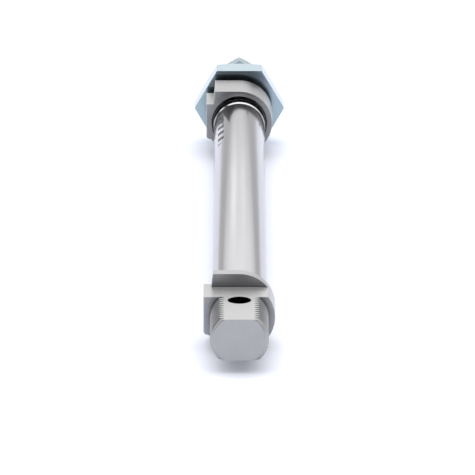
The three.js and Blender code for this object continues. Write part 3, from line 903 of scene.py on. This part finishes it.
def make_neck_rings():
    """Bush, seal, wiper and retaining ring in the front neck."""
    start, end = low("rod_bearing_bush", 1), high("rod_bearing_bush", 1)
    bush = ring_solid("bearing_bush", ROD_R + 0.1, 5.4, start, end, 0.25)
    finish_piece(bush, "barrel", "rod_bearing_bush", BRONZE)
    start, end = low("rod_seal", 1), high("rod_seal", 1)
    lip = [
        (4.6, start), (6.85, start), (6.85, end), (ROD_R + 0.3, end), (ROD_R + 0.12, end - 0.8),
        (ROD_R + 0.12, start + 1.2), (ROD_R + 0.35, start + 0.4),
    ]
    seal = lathe("rod_lip_seal", soften(lip, 0.15))
    finish_piece(seal, "barrel", "rod_seal", NITRILE)
    start, end = low("rod_wiper", 1), high("rod_wiper", 1)
    lip = [
        (4.6, start), (7.45, start), (7.45, end - 1.2), (5.6, end - 1.2), (4.6, end),
        (ROD_R + 0.12, end), (ROD_R + 0.12, start + 1),
    ]
    wiper = lathe("wiper_lip", soften(lip, 0.15))
    finish_piece(wiper, "barrel", "rod_wiper", POLYURETHANE)
    start, end = low("seal_retaining_ring", 1), high("seal_retaining_ring", 1)
    ring = ring_solid("retaining_washer", ROD_R + 0.7, 7.45, start, end, 0.3)
    finish_piece(ring, "barrel", "seal_retaining_ring", ZINC)


def make_barrel_seals():
    for end in ("rear", "front"):
        node = f"{end}_barrel_o_ring"
        ring = o_ring(f"{end}_barrel_ring_seal", 9.2, 1.3, middle(node))
        finish_piece(ring, "barrel", node, NITRILE, weighted=False)
        node = f"{end}_cushion_seal"
        seal = ring_solid(f"{end}_cushion_lip_seal", 5.1, 7.25, low(node, 1), high(node, 1), 0.4)
        finish_piece(seal, "barrel", node, POLYURETHANE)


def make_screws():
    """Slotted cushioning screws and their O-rings, along -X in the caps' raised blocks."""
    for end, y in (("rear", REAR_SCREW_Y), ("front", FRONT_SCREW_Y)):
        node = f"{end}_cushion_screw"
        head, tail = -low(node, 0), -high(node, 0)
        screw = lathe(f"{end}_needle_screw", soften([
            (0, tail), (0.3, tail), (0.9, tail + 2), (1.7, tail + 2.5), (1.7, tail + 3.2), (1.1, tail + 3.2),
            (1.1, tail + 4.2), (1.7, tail + 4.2), (1.7, head - 0.25), (1.45, head), (0, head),
        ], 0.06, closed=False), 64, "-X")
        shift(screw, y=y, z=SCREW_HEIGHT)
        slot = box_solid(
            "slot", (-head - 1, -head + 0.8), (y - 3, y + 3), (SCREW_HEIGHT - 0.3, SCREW_HEIGHT + 0.3)
        )
        cut(screw, slot)
        finish_piece(screw, f"{end}_screw", node, ZINC)
        ring = o_ring(f"{end}_screw_ring_seal", 1.45, 0.5, 0.0, 48)
        turn_to(ring, "-X")
        node = f"{end}_screw_o_ring"
        shift(ring, x=(low(node, 0) + high(node, 0)) / 2, y=y, z=SCREW_HEIGHT)
        finish_piece(ring, f"{end}_screw_seal", node, NITRILE, weighted=False)


# ======== Studio ========
def make_floor():
    """Pale floor that touches the rear cap and the mounting nut, a little tilted under the level axis."""
    rear = Vector((0, TONGUE_END + 0.4, -CAP_R))
    front = Vector((0, low("mounting_nut", 1) + 0.3, low("mounting_nut", 2)))
    slope = (front.z - rear.z) / (front.y - rear.y)
    side, near, far = 3000.0, -3000.0, 3000.0
    points = [(x, y, rear.z + slope * (y - rear.y)) for x, y in
              ((-side, near), (side, near), (side, far), (-side, far))]
    floor = mesh_object("studio_floor", points, [(0, 1, 2, 3)])
    floor.data.transform(Matrix.Scale(MM, 4))
    material = bpy.data.materials.new("studio_floor")
    material.use_nodes = True
    shader = material.node_tree.nodes["Principled BSDF"]
    shader.inputs["Base Color"].default_value = (0.80, 0.82, 0.90, 1)
    shader.inputs["Roughness"].default_value = 0.9
    shader.inputs["Specular IOR Level"].default_value = 0.1
    floor.data.materials.append(material)


def make_world():
    """Pale surroundings, brighter overhead and at both sides, dark towards -Y, with two small glints."""
    world = bpy.data.worlds.new("studio")
    bpy.context.scene.world = world
    world.use_nodes = True
    tree = world.node_tree
    place = tree.nodes.new("ShaderNodeTexCoord").outputs["Generated"]

    def shade(direction, stops):
        """Grey by the direction's share along a given way."""
        dot = tree.nodes.new("ShaderNodeVectorMath")
        dot.operation = "DOT_PRODUCT"
        tree.links.new(place, dot.inputs[0])
        dot.inputs[1].default_value = Vector(direction).normalized()
        ramp = tree.nodes.new("ShaderNodeValToRGB")
        tree.links.new(dot.outputs["Value"], ramp.inputs[0])
        elements = ramp.color_ramp.elements
        for i, (position, value) in enumerate(stops):
            element = elements[i] if i < 2 else elements.new(position)
            element.position = position
            element.color = (value, value, value, 1)
        return ramp.outputs[0]

    def joined(operation, a, b):
        node = tree.nodes.new("ShaderNodeVectorMath")
        node.operation = operation
        tree.links.new(a, node.inputs[0])
        tree.links.new(b, node.inputs[1])
        return node.outputs[0]

    height = shade((0, 0, 1), [
        (0.0, 0.62), (0.03, 0.6), (0.055, 0.52), (0.15, 0.54),
        (0.168, 0.69), (0.22, 0.82), (0.30, 0.97), (0.7, 0.85),
    ])
    viewer_side = shade((0, -1, 0.35), [(0.10, 1.0), (0.62, 0.02)])
    streak = shade((-0.13, 0.953, 0.27), [(0.9993, 0.0), (0.9998, 0.22)])
    glint = shade((0.0876, 0.952, 0.292), [(0.9994, 0.0), (0.9999, 0.08)])
    right, left = (shade((way, 0, 0), [(0.55, 0.0), (0.95, 0.3)]) for way in (1, -1))
    overhead = shade((0, 0, 1), [(0.35, 0.0), (0.8, 0.68)])
    total = joined("MULTIPLY", height, viewer_side)
    for light in (overhead, left, right, streak, glint):
        total = joined("ADD", total, light)
    background = tree.nodes["Background"]
    tree.links.new(total, background.inputs["Color"])
    background.inputs["Strength"].default_value = 1.5


def area_light(name, place, target, size, power, color=(1, 1, 1)):
    data = bpy.data.lights.new(name, "AREA")
    data.shape = "RECTANGLE"
    data.size, data.size_y = size
    data.energy = power
    data.color = color
    light = bpy.data.objects.new(name, data)
    bpy.context.scene.collection.objects.link(light)
    light.location = place
    light.rotation_mode = "QUATERNION"
    light.rotation_quaternion = (Vector(target) - Vector(place)).to_track_quat("-Z", "Y")
    light.visible_camera = False


def make_lights():
    area_light("overhead_softbox", (0, 0.16, 0.9), (0, 0.16, 0), (0.7, 0.7), 2.0)


def make_camera():
    """Long lens behind the stud, looking down along the axis."""
    pitch, yaw = math.radians(17.77), math.radians(-0.01)
    focal_widths = 14.996
    forward = Vector((math.sin(yaw) * math.cos(pitch), math.cos(yaw) * math.cos(pitch), -math.sin(pitch)))
    right = Vector((math.cos(yaw), -math.sin(yaw), 0))
    up = right.cross(forward)
    offset_right, offset_up, distance = 0.69 * MM, -38.21 * MM, 2.651
    data = bpy.data.cameras.new("camera")
    data.sensor_width = 36
    data.lens = focal_widths * data.sensor_width
    data.clip_start, data.clip_end = 0.1, 200
    camera = bpy.data.objects.new("camera", data)
    bpy.context.scene.collection.objects.link(camera)
    camera.location = -(right * offset_right + up * offset_up + forward * distance)
    camera.rotation_mode = "QUATERNION"
    camera.rotation_quaternion = forward.to_track_quat("-Z", "Y")
    bpy.context.scene.camera = camera


bpy.context.scene.view_settings.view_transform = "Standard"
make_camera()
make_rear_cap()
make_front_cap()
make_barrel()
make_nuts()
make_rod()
make_piston()
make_neck_rings()
make_barrel_seals()
make_screws()
make_floor()
make_world()
make_lights()
